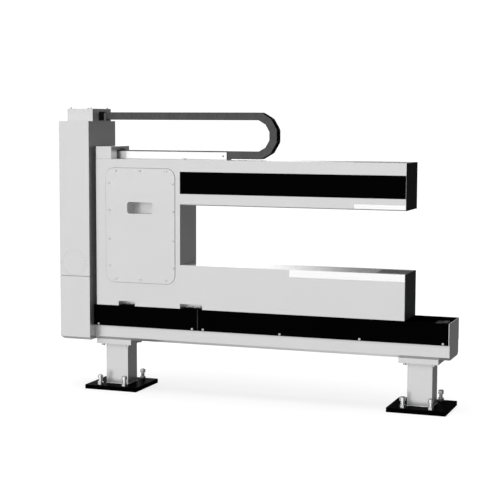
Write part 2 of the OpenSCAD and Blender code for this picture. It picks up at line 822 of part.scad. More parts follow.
module access_panel() {
  t = 2;
  color("#d8d9da") {
    difference() {
      round_slab_y(panel_x[0], panel_x[1], panel_z[0], panel_z[1], 40, cf_y0 - t, cf_y0);
      round_slab_y(pocket_x[0], pocket_x[1], pocket_z[0], pocket_z[1], 12, cf_y0 - t - eps,
        cf_y0 + eps);
      for (p = panel_screws) rod_y(p[0], cf_y0 - t - eps, cf_y0 + eps, p[1], 2.7);
    }
    difference() {
      round_slab_y(pocket_x[0] - t, pocket_x[1] + t, pocket_z[0] - t, pocket_z[1] + t, 14,
        cf_y0 - 1, cf_y0 + pocket_d);
      round_slab_y(pocket_x[0], pocket_x[1], pocket_z[0], pocket_z[1], 12, cf_y0 - 2,
        cf_y0 + pocket_d - t);
    }
  }
}

module rear_panel() {
  t = 2;
  color("#d8d9da") difference() {
    round_slab_y(panel_x[0], panel_x[1], panel_z[0], panel_z[1], 40, cf_y1, cf_y1 + t);
    for (p = panel_screws) rod_y(p[0], cf_y1 - eps, cf_y1 + t + eps, p[1], 2.7);
  }
}

module frame_screws() {
  color("#9a9da0") {
    for (p = panel_screws) {
      screw_front(p[0], cf_y0 - 2, p[1], 5, 4.5, 2.2, 7);
      screw_rear(p[0], cf_y1 + 2, p[1], 5, 4.5, 2.2, 7);
    }
    screw_down(trough_tab_x, trough_y0 - 10, cf_z1 + 2, 4, 4, 4, 2);
  }
}

module stripe_panel() {
  color("#0d0e10") block(throat_x, cf_x1 - 1, cf_y0 - 1, cf_y0, stripe_z[0],
    stripe_z[1]);
}

module cap(z0, z1) {
  color("#26272a") {
    block(cf_x1, cf_x1 + 3, cf_y0, cf_y1, z0, z1);
    for (y = [cf_y0 + cf_wall, cf_y1 - cf_wall - 3])
      block(cf_x1 - 10, cf_x1 + 1, y, y + 3, z0 + cf_wall + 6, z1 - cf_wall - 6);
  }
}
module cap_upper() difference() {
  cap(throat_z1, cf_z1);
  arm_bevel(cf_x1 - 1);
}
module cap_lower() cap(cf_z0, throat_z0);

module strips() color("#f4f4f4") {
  block(strip_upper_x0, cf_x1 - 0.5, cf_y0 - 0.6, cf_y0, throat_z1 + arm_chamfer + 0.5,
    strip_upper_z1);
  block(strip_lower_x0, cf_x1 - 0.5, cf_y0 - 0.6, cf_y0, strip_lower_z0, throat_z0 - 0.5);
}

module sensor_upper() {
  color("#18191b") {
    block(sensor_x0, cf_x1, sensor_y[0], sensor_y[1], throat_z1, throat_z1 + 26);
    block(sensor_x0 - 9, cf_x1 - 2, sensor_y[0] - 9, sensor_y[1] + 9,
      throat_z1 + cf_wall, throat_z1 + cf_wall + 3);
  }
}
module sensor_lower() {
  color("#18191b") {
    block(sensor_x0, cf_x1, sensor_y[0], sensor_y[1], throat_z0 - 26, throat_z0);
    block(sensor_x0 - 9, cf_x1 - 2, sensor_y[0] - 9, sensor_y[1] + 9,
      throat_z0 - cf_wall - 3, throat_z0 - cf_wall);
  }
}

module trough() {
  t = 2;
  color("#f2f2f2") difference() {
    union() {
      block(trough_x0, trough_x1, trough_y0, trough_y1, cf_z1, cf_z1 + t);
      block(trough_x0, trough_x1, trough_y0, trough_y0 + t, cf_z1, trough_z1);
      block(trough_x0, trough_x1, trough_y1 - t, trough_y1, cf_z1, trough_z1);
      block(trough_tab_x - 10, trough_tab_x + 10, trough_y0 - 16, trough_y0 + eps, cf_z1,
        cf_z1 + t);
    }
    rod_y(trough_hole_x, trough_y0 - eps, trough_y0 + t + eps, trough_hole_z, 4);
    translate([trough_tab_x, trough_y0 - 10, cf_z1 - eps]) cylinder(h = t + 2 * eps, r = 2.2);
  }
}

module cable_bridge() {
  t = 3;
  color("#c9cacb") for (y = [[cf_y0, bridge_front_y1], [bridge_rear_y0, cf_y1]]) difference() {
    block(cf_x0, bridge_x1, y[0], y[1], cf_z1, bridge_z1);
    block(cf_x0 + t, bridge_x1 - t, y[0] + t, y[1] - t, cf_z1 - eps, bridge_z1 - t);
  }
}
module bridge_lid() {
  color("#d5d6d7") difference() {
    block(cf_x0, bridge_x1, cf_y0, cf_y1, bridge_z1, bridge_lid_z1);
    block(cf_x0 + 3, bridge_x1 - 3, cf_y0 + 3, cf_y1 - 3, bridge_z1 - eps,
      bridge_lid_z1 - 3);
  }
}

foot_plate_left();
foot_plate_right();
post_left();
post_right();
flange_bolts();
jack_nuts();
beam();
panel_front_left();
panel_front_right();
panel_rear();
end_plate();
rail_front();
rail_rear();
rail_screws();
screw_support_fixed();
screw_support_float();
motor();
motor_mount();
end_buffers();
column_lower();
column_upper();
column_frame();
column_cover();
box_body();
box_lid();
base_screws();
chain_fixed_bracket();
chain_fixed_run();
c_frame();
access_panel();
frame_screws();
stripe_panel();
cap_upper();
cap_lower();
strips();
rear_panel();
sensor_upper();
sensor_lower();
trough();
cable_bridge();
bridge_lid();
chain_end_stub();
saddle_plate();
saddle_screws();
carriages();
nut_bracket();
ball_nut();
chain_upper_run();
chain_bend();
chain_lower_run();
ball_screw();
coupling();
jack_1();
jack_2();
jack_3();
jack_4();
jack_5();
jack_6();
jack_7();
jack_8();
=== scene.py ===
"""Looks of a traversing C-frame measuring gauge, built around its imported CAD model."""
import json
import math

import bmesh
import bpy
from mathutils import Matrix, Vector


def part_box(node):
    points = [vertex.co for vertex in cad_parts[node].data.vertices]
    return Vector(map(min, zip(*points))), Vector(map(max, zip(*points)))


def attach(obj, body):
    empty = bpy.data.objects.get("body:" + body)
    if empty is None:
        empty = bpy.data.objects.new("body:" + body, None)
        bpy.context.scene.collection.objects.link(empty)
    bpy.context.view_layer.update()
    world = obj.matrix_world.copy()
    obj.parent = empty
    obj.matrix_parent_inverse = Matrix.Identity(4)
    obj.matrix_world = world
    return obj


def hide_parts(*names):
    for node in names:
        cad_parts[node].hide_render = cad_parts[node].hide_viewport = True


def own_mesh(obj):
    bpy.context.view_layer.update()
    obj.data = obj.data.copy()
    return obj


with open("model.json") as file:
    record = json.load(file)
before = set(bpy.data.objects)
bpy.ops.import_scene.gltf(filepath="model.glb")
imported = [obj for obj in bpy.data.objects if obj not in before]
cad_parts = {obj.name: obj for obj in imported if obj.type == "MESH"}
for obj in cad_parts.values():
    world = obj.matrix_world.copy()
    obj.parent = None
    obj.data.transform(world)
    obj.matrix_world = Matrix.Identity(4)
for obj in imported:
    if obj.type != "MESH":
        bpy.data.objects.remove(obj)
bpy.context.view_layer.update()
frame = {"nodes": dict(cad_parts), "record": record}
slot_of = {row["node"]: row["material_slot"] for row in frame["record"]["subparts"]}


# ---------------------------------------------------------------- materials
def new_material(name):
    """A node material with an empty Principled shader wired to its output."""
    mat = bpy.data.materials.new(name)
    mat.use_nodes = True
    tree = mat.node_tree
    tree.nodes.clear()
    out = tree.nodes.new("ShaderNodeOutputMaterial")
    shader = tree.nodes.new("ShaderNodeBsdfPrincipled")
    tree.links.new(shader.outputs["BSDF"], out.inputs["Surface"])
    return mat, tree, shader


def object_coords(tree, scale=(1, 1, 1)):
    """Object coordinates stretched by scale, for grain that runs one way."""
    coord = tree.nodes.new("ShaderNodeTexCoord")
    mapping = tree.nodes.new("ShaderNodeMapping")
    mapping.inputs["Scale"].default_value = scale
    tree.links.new(coord.outputs["Object"], mapping.inputs["Vector"])
    return mapping.outputs["Vector"]


def noise(tree, vector, scale, detail=3.0, roughness=0.55):
    tex = tree.nodes.new("ShaderNodeTexNoise")
    tex.inputs["Scale"].default_value = scale
    tex.inputs["Detail"].default_value = detail
    tex.inputs["Roughness"].default_value = roughness
    tree.links.new(vector, tex.inputs["Vector"])
    return tex.outputs["Fac"]


def spread(tree, value, low, high, from_low=0.3, from_high=0.7):
    """The value between from_low and from_high stretched to low to high."""
    node = tree.nodes.new("ShaderNodeMapRange")
    node.inputs["From Min"].default_value = from_low
    node.inputs["From Max"].default_value = from_high
    node.inputs["To Min"].default_value = low
    node.inputs["To Max"].default_value = high
    tree.links.new(value, node.inputs["Value"])
    return node.outputs["Result"]


def two_tones(tree, value, tone_a, tone_b):
    mix = tree.nodes.new("ShaderNodeMix")
    mix.data_type = "RGBA"
    mix.inputs["A"].default_value = (*tone_a, 1)
    mix.inputs["B"].default_value = (*tone_b, 1)
    tree.links.new(value, mix.inputs["Factor"])
    return mix.outputs["Result"]


def bump(tree, shader, height, strength, distance):
    node = tree.nodes.new("ShaderNodeBump")
    node.inputs["Strength"].default_value = strength
    node.inputs["Distance"].default_value = distance
    tree.links.new(height, node.inputs["Height"])
    tree.links.new(node.outputs["Normal"], shader.inputs["Normal"])


def surface(name, tone, vary=0.04, rough=(0.4, 0.5), metal=0.0, grain=900.0, depth=2e-5,
            strength=0.3, stretch=(1, 1, 1), cloud=7.0, specular=0.5):
    """A coated or bare surface: cloudy tone, uneven gloss and a fine grain in relief."""
    mat, tree, shader = new_material(name)
    coords = object_coords(tree)
    grain_coords = object_coords(tree, stretch)
    clouds = spread(tree, noise(tree, coords, cloud, 4.0), 0, 1)
    low = tuple(c * (1 - vary) for c in tone)
    high = tuple(min(1.0, c * (1 + vary)) for c in tone)
    tree.links.new(two_tones(tree, clouds, low, high), shader.inputs["Base Color"])
    gloss = spread(tree, noise(tree, grain_coords, grain * 0.12, 3.0), *rough)
    tree.links.new(gloss, shader.inputs["Roughness"])
    bump(tree, shader, noise(tree, grain_coords, grain, 2.0), strength, depth)
    shader.inputs["Metallic"].default_value = metal
    shader.inputs["Specular IOR Level"].default_value = specular
    return mat


def grey(value):
    return (value, value, value)


PAINT = grey(0.655)
MATERIALS = {
    "paint_light": surface("light_grey_satin_lacquer", PAINT, 0.012, (0.20, 0.27), 0.55,
                           grain=420, depth=3e-5, strength=0.15),
    "paint_light_gloss": surface("light_grey_smooth_lacquer", PAINT, 0.010, (0.17, 0.23), 0.55,
                                 grain=420, depth=3e-5, strength=0.10),
    "black_sheet": surface("black_powder_coat", grey(0.0008), 0.3, (0.4, 0.52), grain=700,
                           depth=6e-5, strength=0.25, specular=0.004),
    "black_steel": surface("black_plate_paint", grey(0.0010), 0.3, (0.30, 0.42), grain=420,
                           depth=8e-5, strength=0.3, specular=0.001),
    "black_gloss": surface("black_gloss_film", grey(0.0004), 0.3, (0.10, 0.16), grain=300,
                           depth=1e-5, strength=0.05, specular=0.01),
    "white_plastic": surface("white_guard_plastic", grey(0.97), 0.008, (0.3, 0.42), grain=500,
                             depth=3e-5),
    "white_sheet": surface("white_trough_lacquer", grey(0.96), 0.008, (0.06, 0.10), 0.55,
                           grain=420, depth=2e-5, strength=0.08),
    "chain_plastic": surface("chain_nylon_grey", (0.074, 0.074, 0.075), 0.10, (0.5, 0.64),
                             grain=1200, depth=5e-5, strength=0.35, cloud=18, specular=0.2),
    "rail_steel": surface("ground_rail_steel", (0.52, 0.53, 0.54), 0.05, (0.20, 0.34), 1.0,
                          grain=2600, depth=1.2e-5, strength=0.3, stretch=(0.02, 1, 1)),
    "machined": surface("milled_aluminium", (0.60, 0.61, 0.62), 0.05, (0.26, 0.38), 1.0,
                        grain=1500, depth=1.5e-5, strength=0.35, stretch=(1, 1, 0.05)),
    "zinc": surface("zinc_plating", (0.62, 0.63, 0.64), 0.07, (0.22, 0.38), 1.0, grain=1500,
                    depth=1.5e-5, cloud=60),
    "chrome": surface("bright_plated_steel", (0.85, 0.85, 0.86), 0.03, (0.12, 0.20), 1.0,
                      grain=900, depth=8e-6, strength=0.2, cloud=40),
    "black_oxide": surface("black_oxide_screws", (0.035, 0.036, 0.038), 0.15, (0.32, 0.46), 0.8,
                           grain=1800, depth=1.5e-5, cloud=70),
    "rubber": surface("buffer_rubber", grey(0.018), 0.2, (0.62, 0.8), grain=1400, depth=8e-5,
                      strength=0.5),
    "motor_black": surface("motor_paint", (0.02, 0.02, 0.021), 0.12, (0.35, 0.5), grain=900,
                           depth=5e-5),
    "frame_steel": surface("primed_steel", (0.16, 0.165, 0.17), 0.1, (0.5, 0.66), grain=700,
                           depth=8e-5, strength=0.4),
    "sensor_glass": surface("sensor_window", (0.006, 0.0065, 0.008), 0.1, (0.06, 0.1),
                            grain=260, depth=4e-6, strength=0.1),
    # finishes of single pieces, and tones for painted shade: near-black chain lids and grey
    # panel-gap rings
    "pale_zinc": surface("dull_zinc_heads", (0.50, 0.50, 0.51), 0.08, (0.35, 0.5), 0.25,
                         grain=1500, depth=1.5e-5, cloud=60),
    "painted_screws": surface("pale_nickel_heads", (0.57, 0.57, 0.575), 0.05, (0.3, 0.45), 0.1,
                              grain=1500, depth=1.5e-5, cloud=60),
    "dark_cap": surface("dark_cap_plastic", (0.036, 0.036, 0.037), 0.08, (0.38, 0.5), grain=900,
                        depth=5e-5, specular=0.05),
    "black_cap": surface("black_cap_plastic", grey(0.006), 0.2, (0.38, 0.5), grain=900,
                         depth=5e-5, specular=0.02),
    # near-black chain lids: painted shade standing in for the dark outward faces of the chain
    "chain_lid_painted_shade": surface("chain_lids_painted_shade", grey(0.0012), 0.2, (0.5, 0.65), grain=1200,
                         depth=5e-5, cloud=18, specular=0.004),
    "weld": surface("painted_weld", PAINT, 0.03, (0.3, 0.45), grain=240, depth=4e-4,
                    strength=0.5),
    # grey ring round the access panels: painted shade of the gap between each panel and the
    # frame
    "grey_seal": surface("grey_rubber_seal", grey(0.09), 0.1, (0.6, 0.75), grain=900,
                         depth=4e-5, specular=0.2),
    "carriage_seal": surface("carriage_end_seal", (0.02, 0.022, 0.028), 0.1, (0.4, 0.55),
                             grain=900, depth=4e-5),
}


# ---------------------------------------------------------------- CAD nodes
OWN_FINISH = {"frame_screws": "painted_screws", "base_screws": "pale_zinc",
              "cap_upper": "black_cap", "cap_lower": "dark_cap", "saddle_screws": "black_oxide",
              "chain_fixed_bracket": "frame_steel"}
# rounding of the outer edges, in metres
BEVELS = {
    "c_frame": 0.0012, "column_upper": 0.0010, "column_lower": 0.0010, "box_body": 0.0008,
    "box_lid": 0.0006, "beam": 0.0010, "post_left": 0.0012, "post_right": 0.0012,
    "foot_plate_left": 0.0008, "foot_plate_right": 0.0008, "end_plate": 0.0005,
    "cable_bridge": 0.0007, "bridge_lid": 0.0007, "cap_upper": 0.0006, "cap_lower": 0.0006,
    "saddle_plate": 0.0008, "motor": 0.0010, "motor_mount": 0.0008,
    "screw_support_fixed": 0.0008, "screw_support_float": 0.0008, "nut_bracket": 0.0008,
    "carriages": 0.0006,
}


def node_group(name, build):
    """A geometry node group with one mesh in and one mesh out."""
    group = bpy.data.node_groups.new(name, "GeometryNodeTree")
    for way in ("INPUT", "OUTPUT"):
        group.interface.new_socket("Geometry", in_out=way, socket_type="NodeSocketGeometry")
    first = group.nodes.new("NodeGroupInput")
    last = group.nodes.new("NodeGroupOutput")
    build(group, first.outputs["Geometry"], last.inputs["Geometry"])
    return group


def plain_normals(group, mesh_in, mesh_out):
    """Drops the stored normals, which no longer fit once the edges are rounded."""
    drop = group.nodes.new("GeometryNodeRemoveAttribute")
    drop.inputs["Name"].default_value = "custom_normal"
    group.links.new(mesh_in, drop.inputs["Geometry"])
    group.links.new(drop.outputs["Geometry"], mesh_out)


def soften_edges(obj, width, group):
    """Rounds the sharp edges of a CAD node with modifiers only."""
    clean = obj.modifiers.new("plain_normals", "NODES")
    clean.node_group = group
    joined = obj.modifiers.new("weld", "WELD")
    joined.merge_threshold = 1e-5
    flat = obj.modifiers.new("flat_faces", "DECIMATE")
    flat.decimate_type = "DISSOLVE"
    flat.angle_limit = math.radians(0.5)
    edge = obj.modifiers.new("edge", "BEVEL")
    edge.width = width
    edge.segments = 2
    edge.limit_method = "ANGLE"
    edge.angle_limit = math.radians(40)
    normals = obj.modifiers.new("normals", "WEIGHTED_NORMAL")
    normals.keep_sharp = True


def dress_cad():
    """Gives every CAD node its material, and softens the edges of the larger ones."""
    group = node_group("plain_normals", plain_normals)
    for name, obj in frame["nodes"].items():
        mat = MATERIALS[OWN_FINISH.get(name, slot_of[name])]
        for i in range(len(obj.material_slots)):
            obj.material_slots[i].material = mat
        if name in BEVELS:
            soften_edges(obj, BEVELS[name], group)


# ---------------------------------------------------------------- mesh helpers
def mesh_object(name, bm, mats, body, smooth_angle=35.0):
    """A finished piece from a bmesh: materials, smooth shading and body."""
    bmesh.ops.recalc_face_normals(bm, faces=bm.faces)
    mesh = bpy.data.meshes.new(name)
    bm.to_mesh(mesh)
    bm.free()
    obj = bpy.data.objects.new(name, mesh)
    bpy.context.scene.collection.objects.link(obj)
    for mat in mats:
        mesh.materials.append(mat)
    mesh.polygons.foreach_set("use_smooth", [True] * len(mesh.polygons))
    mesh.set_sharp_from_angle(angle=math.radians(smooth_angle))
    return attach(obj, body)


def prism(bm, outline, y0, y1, mat=0, place=Matrix.Identity(4)):
    """An outline in X and Z carried from y0 to y1."""
    near = [bm.verts.new(place @ Vector((x, y0, z))) for x, z in outline]
    far = [bm.verts.new(place @ Vector((x, y1, z))) for x, z in outline]
    faces = [bm.faces.new(near), bm.faces.new(far[::-1])]
    for i in range(len(outline)):
        j = (i + 1) % len(outline)
        faces.append(bm.faces.new((near[j], near[i], far[i], far[j])))
    for face in faces:
        face.material_index = mat


def bridge_loops(bm, rows):
    """Faces from each closed row of points to the next, and from the last to the first."""
    for a, b in zip(rows, rows[1:] + rows[:1]):
        for i in range(len(a)):
            j = (i + 1) % len(a)
            bm.faces.new((a[i], b[i], b[j], a[j]))


def arc(cx, cz, r, start, end, steps):
    """Points from start to end degrees round (cx, cz)."""
    points = []
    for i in range(steps + 1):
        a = math.radians(start + (end - start) * i / steps)
        points.append((cx + r * math.cos(a), cz + r * math.sin(a)))
    return points


# ---------------------------------------------------------------- energy chain
BEND_STEP = 30.0       # degrees from one link of the bend to the next
LINK_GAP = 0.0006      # round a plate's round end, in the hollow of the plate before it
PLATE = 0.0034         # thickness of a side plate
TAIL_CORNER = 0.008    # corner radius of a link with a square far end
END_CORNER = 0.006     # the same on the piece that ends the chain
RIB = 0.0022           # height of the ribs along a side plate
RIB_INSET = 0.0016     # from a plate's edge to its rib
RIB_START = 0.003      # from the joint to the ribs
RELIEF = 0.0005        # how far ribs and bosses stand out of a plate
LID = 0.0022           # thickness of a lid
LID_INSET = 0.0004     # from a plate's edge to the lid
MOUTH = 0.016          # from the fixed run's free end to its first joint


def chain_layout():
    """The chain's sizes, read from the CAD runs and bend."""
    up_low, up_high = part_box("chain_upper_run")
    low_low, low_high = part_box("chain_lower_run")
    size = {
        "half": (up_high.z - up_low.z) / 2,
        "width": up_high.y - up_low.y,
        "y": (up_low.y + up_high.y) / 2,
        "bend_x": up_high.x,
        "top_z": (up_low.z + up_high.z) / 2,
        "low_z": (low_low.z + low_high.z) / 2,
        "nose_x": up_low.x,
        "tail_x": low_low.x,
    }
    size["radius"] = (size["top_z"] - size["low_z"]) / 2
    size["mid_z"] = (size["top_z"] + size["low_z"]) / 2
    size["pitch"] = 2 * size["radius"] * math.tan(math.radians(BEND_STEP / 2))
    size["first_joint"] = size["bend_x"] - size["pitch"] / 2
    return size


def hollow_end(x, half):
    """The curved end of a plate, clear of the round end centred at x."""
    reach = half + LINK_GAP
    theta = math.degrees(math.asin(half / reach))
    return arc(x, 0, reach, 180 + theta, 180 - theta, 12)


def link_outline(half, pitch, tail=None):
    """A side plate: a round end at its own joint, then a hollow or a square far end."""
    points = arc(0, 0, half, 90, 270, 14)
    if tail is None:
        return points + hollow_end(pitch, half)
    r = TAIL_CORNER
    return (points + arc(tail - r, -half + r, r, -90, 0, 6)
            + arc(tail - r, half - r, r, 0, 90, 6))


def side_prism(bm, outline, y_a, y_b, place):
    prism(bm, outline, min(y_a, y_b), max(y_a, y_b), 0, place)


def rectangle(x0, x1, z0, z1):
    return [(x0, z0), (x1, z0), (x1, z1), (x0, z1)]


def add_lids(bm, place, c, x0, x1):
    """The two crossbars that close a link on top and below, near-black as painted shade of the
    chain's outward faces.
    """
    outer = c["width"] / 2 - PLATE * 0.9
    for z in (-c["half"] + LID_INSET, c["half"] - LID_INSET - LID):
        prism(bm, rectangle(x0, x1, z, z + LID), c["y"] - outer, c["y"] + outer, 1, place)


def add_link(bm, place, c, tail=None):
    """One link: two side plates with ribs, bosses and inner tongues, and two lids."""
    half = c["half"]
    length = c["pitch"] if tail is None else tail
    rib_end = length - (0.0075 if tail is None else RIB_START)
    for side in (-1, 1):
        y_out = c["y"] + side * c["width"] / 2
        y_in = y_out - side * PLATE
        y_skin = y_out + side * RELIEF
        side_prism(bm, link_outline(half, c["pitch"], tail), y_out, y_in, place)
        for z in (-half + RIB_INSET, half - RIB_INSET - RIB):
            side_prism(bm, rectangle(RIB_START, rib_end, z, z + RIB), y_out, y_skin, place)
        side_prism(bm, arc(0, 0, half * 0.36, 0, 340, 17), y_out, y_skin, place)
        side_prism(bm, arc(0, 0, half * 0.93, 60, 300, 12), y_in - side * LINK_GAP,
                   y_out - side * 2 * PLATE, place)
    add_lids(bm, place, c, 0.0005, length - 0.0030)


def add_end_link(bm, joint_x, c, length):
    """The chain's last piece: hollow round the joint before it, square at its far end."""
    half, r = c["half"], END_CORNER
    outline = (arc(-length + r, half - r, r, 90, 180, 6)
               + arc(-length + r, -half + r, r, 180, 270, 6) + hollow_end(0, half))
    place = Matrix.Translation((joint_x, 0, c["top_z"]))
    for side in (-1, 1):
        y_out = c["y"] + side * c["width"] / 2
        side_prism(bm, outline, y_out, y_out - side * PLATE, place)
    add_lids(bm, place, c, -length + 0.002, -0.003)


def add_top_links(bm, joint_x, count, c):
    """Links of an upper run from joint_x towards -X, each with its round end at -X."""
    for i in range(count):
        x = joint_x - c["pitch"] * (i + 1)
        add_link(bm, Matrix.Translation((x, 0, c["top_z"])), c)


def chain_mats():
    return [MATERIALS["chain_plastic"], MATERIALS["chain_lid_painted_shade"]]


def build_upper_run(c):
    bm = bmesh.new()
    count = int((c["first_joint"] - c["nose_x"]) / c["pitch"])
    add_top_links(bm, c["first_joint"], count, c)
    end_joint = c["first_joint"] - count * c["pitch"]
    add_end_link(bm, end_joint, c, end_joint - c["nose_x"])
    run = mesh_object("chain_upper_links", bm, chain_mats(), "chain")
    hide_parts("chain_upper_run")


def build_bend(c):
    """Seven links on the chords of the bend."""
    bm = bmesh.new()
    ring = c["radius"] / math.cos(math.radians(BEND_STEP / 2))
    joints = [(c["first_joint"], c["top_z"])]
    for k in range(6):
        a = math.radians(90 - BEND_STEP * (k + 0.5))
        joints.append((c["bend_x"] + ring * math.cos(a), c["mid_z"] + ring * math.sin(a)))
    joints.append((c["first_joint"], c["low_z"]))
    for (x0, z0), (x1, z1) in zip(joints, joints[1:]):
        turn = math.atan2(z1 - z0, x1 - x0)
        add_link(bm, Matrix.Translation((x0, 0, z0)) @ Matrix.Rotation(-turn, 4, "Y"), c)
    turned = mesh_object("chain_bend_links", bm, chain_mats(), "chain")
    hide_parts("chain_bend")


def build_lower_run(c):
    """Links turned over, the last one cut short where the lower run ends."""
    bm = bmesh.new()
    count = int((c["first_joint"] - c["tail_x"]) / c["pitch"])
    for i in range(count + 1):
        x = c["first_joint"] - i * c["pitch"]
        place = Matrix.Translation((x, 0, c["low_z"])) @ Matrix.Rotation(math.pi, 4, "Y")
        if i < count:
            add_link(bm, place, c)
        elif x - c["tail_x"] > c["half"] * 0.6:
            add_link(bm, place, c, x - c["tail_x"])
    low = mesh_object("chain_lower_links", bm, chain_mats(), "chain")
    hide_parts("chain_lower_run")
    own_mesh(low)


def build_fixed_run(c):
    """The part of the chain that lies still, drawn a little smaller inside the upper run."""
    low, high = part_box("chain_fixed_run")
    inner = dict(c, half=(high.z - low.z) / 2 - 0.0006, width=high.y - low.y - 0.0012)
    bm = bmesh.new()
    joint = high.x - MOUTH
    count = int((joint - low.x - inner["half"]) / c["pitch"])
    add_top_links(bm, joint, count, inner)
    end_joint = joint - count * c["pitch"]
    add_end_link(bm, end_joint, inner, end_joint - low.x)
    fixed = mesh_object("chain_fixed_links", bm, chain_mats(), "base")
    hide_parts("chain_fixed_run")


def build_chain():
    c = chain_layout()
    build_upper_run(c)
    build_bend(c)
    build_lower_run(c)
    build_fixed_run(c)


# ---------------------------------------------------------------- ball screw
LEAD = 0.016           # travel per turn, two starts half a lead apart
THREAD_R = 0.008
ROOT_R = 0.0071
JOURNAL_R = 0.006
SHOULDER_R = 0.010
THREAD_STEP = 0.002    # between two rings of the thread
RING_POINTS = 28


def thread_radius(x, a):
    """The screw's radius at x and angle a, with its round groove."""
    phase = (x / LEAD - a / (2 * math.pi)) % 0.5
    groove = max(0.0, 1 - abs(phase - 0.25) / 0.11)
    return THREAD_R - (THREAD_R - ROOT_R) * math.sqrt(min(1.0, groove))


def screw_rings(low_x, high_x, fixed_low_x, fixed_high_x, float_x):
    """The place and radii of each ring: journal, shoulder, journal, thread, journal."""
    x0, x1 = fixed_high_x + 0.004, float_x - 0.004
    shoulder_x0, shoulder_x1 = fixed_low_x - 0.008, fixed_low_x - 0.0005
    angles = [2 * math.pi * k / RING_POINTS for k in range(RING_POINTS)]
    plain = [(low_x, JOURNAL_R), (shoulder_x0, JOURNAL_R), (shoulder_x0, SHOULDER_R),
             (shoulder_x1, SHOULDER_R), (shoulder_x1, JOURNAL_R), (x0, JOURNAL_R)]
    rings = [(x, [r] * RING_POINTS) for x, r in plain]
    count = int((x1 - x0) / THREAD_STEP)
    for i in range(count + 1):
        x = x0 + (x1 - x0) * i / count
        rings.append((x, [thread_radius(x, a) for a in angles]))
    rings += [(x, [JOURNAL_R] * RING_POINTS) for x in (x1, high_x)]
    return angles, rings


def build_ball_screw():
    """The rolled screw with its helical raceway, turned journals and a shoulder."""
    low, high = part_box("ball_screw")
    fixed_low, fixed_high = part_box("screw_support_fixed")
    axis_y = (fixed_low.y + fixed_high.y) / 2
    axis_z = (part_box("coupling")[0].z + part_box("coupling")[1].z) / 2
    angles, rings = screw_rings(low.x, high.x, fixed_low.x, fixed_high.x,
                                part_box("screw_support_float")[0].x)
    bm = bmesh.new()
    loops = [[bm.verts.new((x, axis_y + r * math.cos(a), axis_z + r * math.sin(a)))
              for a, r in zip(angles, radii)] for x, radii in rings]
    for a, b in zip(loops, loops[1:]):
        for k in range(RING_POINTS):
            j = (k + 1) % RING_POINTS
            bm.faces.new((a[k], b[k], b[j], a[j]))
    bm.faces.new(loops[0])
    bm.faces.new(loops[-1][::-1])
    obj = mesh_object("ball_screw_thread", bm, [MATERIALS["rail_steel"]], "screw",
                      50.0)
    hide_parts("ball_screw")


# ---------------------------------------------------------------- welds
POST_HALF_X = 0.053    # half the post tube's width and depth
POST_HALF_Y = 0.0485
POST_FLANGE = 0.184    # from the post's foot to its flange's underside
WELD_LEG = 0.0018
WELD_STEP = 0.0025     # between two rows of the bead
WELD_SINK = 0.0005     # how far the bead's root sits in the post


def bead_row(bm, x, y, z, n, size, up):
    """One cross-section of a bead at (x, y), bulging along n and up or down."""
    row = []
    for j in range(5):
        a = math.radians(90 * j / 4)
        out = size * math.cos(a) * 0.98
        row.append(bm.verts.new((x + n.x * out, y + n.y * out, z + up * size * math.sin(a))))
    row.append(bm.verts.new((x - n.x * WELD_SINK, y - n.y * WELD_SINK, z)))
    return row


def bead_loop(bm, x0, x1, y0, y1, z, leg, up):
    """A rippled fillet weld round a rectangle, standing up (1) or hanging down (-1)."""
    corners = [(x0, y0), (x1, y0), (x1, y1), (x0, y1)]
    outward = [(0, -1), (1, 0), (0, 1), (-1, 0)]
    rows = []
    for k, ((cx, cy), (nx, ny)) in enumerate(zip(corners, outward)):
        ex, ey = corners[(k + 1) % 4]
        steps = max(8, int(math.hypot(ex - cx, ey - cy) / WELD_STEP))
        for i in range(steps):
            t = i / steps
            n = Vector((nx, ny))
            if i == 0:
                n = (n + Vector(outward[k - 1])).normalized() * 1.2
            size = leg * (1 + 0.10 * math.sin(t * steps * 1.6 + k))
            rows.append(bead_row(bm, cx + (ex - cx) * t, cy + (ey - cy) * t, z, n, size, up))
    bridge_loops(bm, rows)


def build_welds():
    """Fillet welds where each post meets its foot plate and its flange."""
    for side in ("left", "right"):
        plate_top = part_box("foot_plate_" + side)[1].z
        low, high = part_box("post_" + side)
        cx, cy = (low.x + high.x) / 2, (low.y + high.y) / 2
        bm = bmesh.new()
        for z, up in ((plate_top, 1), (low.z + POST_FLANGE, -1)):
            bead_loop(bm, cx - POST_HALF_X, cx + POST_HALF_X, cy - POST_HALF_Y,
                      cy + POST_HALF_Y, z, WELD_LEG, up)
        mesh_object("post_welds_" + side, bm, [MATERIALS["weld"]], "base", 60.0)


# ---------------------------------------------------------------- painted gap shade and seals
GAP_SHADE_LIP = 0.0014    # how far the grey line of painted shade in the gap shows round a panel
# share of the lip it reaches out, corner radius and height above the frame, row by row
GAP_SHADE_ROWS = ((-1, 0.038, 0), (-1, 0.038, 0.0008), (0.6, 0.040, 0.0010), (1, 0.0416, 0.0006),
               (1, 0.0416, 0))
SEAM_SHADE_THICK = 0.0007    # thin dark strip of painted seam shade under the cable bridge and the trough
SEAM_SHADE_PROUD = 0.0003
CARRIAGE_LENGTH = 0.080
CARRIAGE_SEAL = 0.006  # thickness of an end seal
SEAL_HALF = 0.0212     # half its width
SEAL_CORNER = 0.004
SEAL_GAP = 0.0006      # between the seal and the rail
SEAL_INSET = 0.001     # from the carriage's underside
SEAL_TOP_INSET = 0.0012


def rounded_outline(low, high, r, steps=8):
    """A rectangle in X and Z with rounded corners, turning one way round."""
    points = []
    corners = ((high.x - r, high.z - r, 0), (low.x + r, high.z - r, 90),
               (low.x + r, low.z + r, 180), (high.x - r, low.z + r, 270))
    for cx, cz, start in corners:
        points += arc(cx, cz, r, start, start + 90, steps)
    return points


